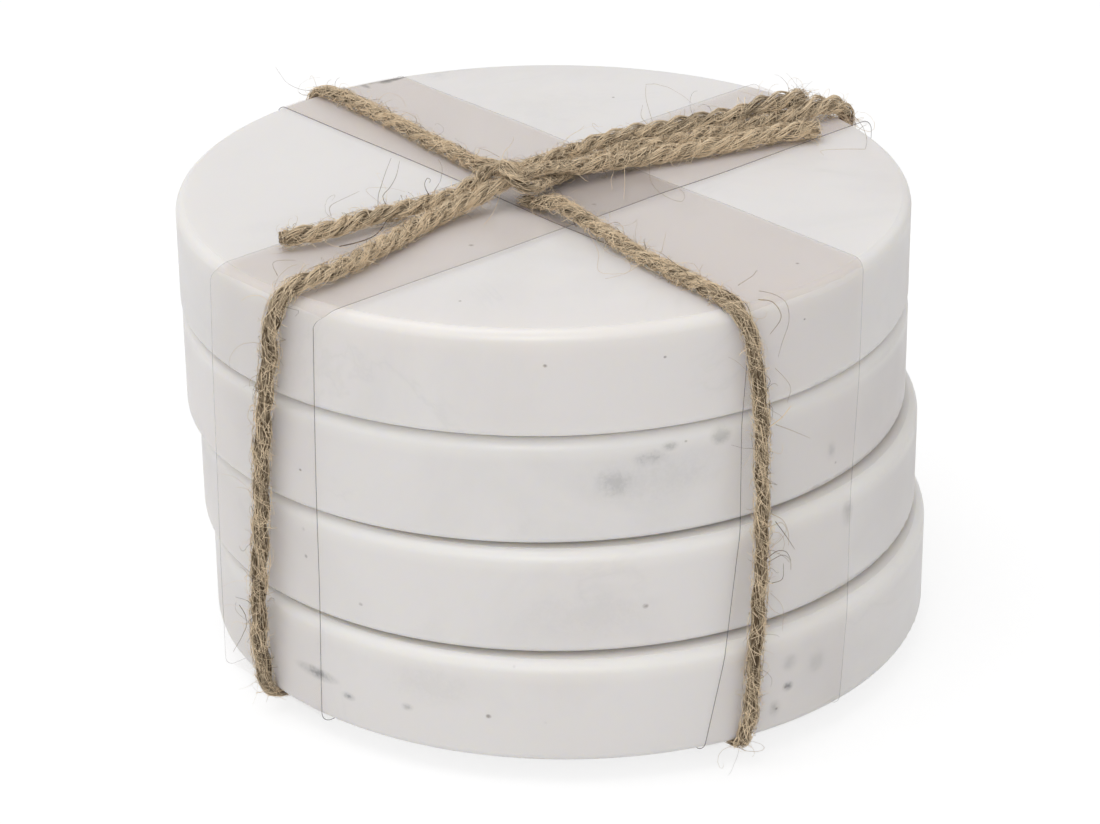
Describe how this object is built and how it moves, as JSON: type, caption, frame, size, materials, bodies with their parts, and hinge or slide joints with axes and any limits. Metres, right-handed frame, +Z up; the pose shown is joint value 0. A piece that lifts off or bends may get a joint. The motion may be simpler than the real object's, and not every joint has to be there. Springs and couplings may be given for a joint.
{
  "type": "drink coaster set",
  "caption": "Round white marble drink coasters with eased edges, stacked on thin felt dots, wrapped crosswise in clear film bands and tied with jute twine in a half knot.",
  "frame": {"origin": "middle of the tied stack in plan, on the surface that it stands on, under the crossing of the twine", "axes": "+Z up through the stack; +X along the film band and twine that run left to right; +Y towards the back, along the other pair"},
  "size_m": [0.1073, 0.109, 0.0697],
  "materials": {
    "marble": "honed white marble, faint grey clouds and specks",
    "felt_pad": "thin self-adhesive felt",
    "clear_film": "clear film, glossy, slightly smoky",
    "jute_twine": "natural jute, hairy"
  },
  "bodies": {
    "root": {"coaster_1": "marble", "coaster_2": "marble", "coaster_3": "marble", "coaster_4": "marble", "coaster_pads_1": "felt_pad", "coaster_pads_2": "felt_pad", "coaster_pads_3": "felt_pad", "coaster_pads_4": "felt_pad", "film_band_long": "clear_film", "film_band_cross": "clear_film", "twine_main": "jute_twine", "twine_second": "jute_twine", "twine_end_left": "jute_twine", "twine_end_right": "jute_twine", "twine_end_back": "jute_twine"}
  },
  "joints": []
}
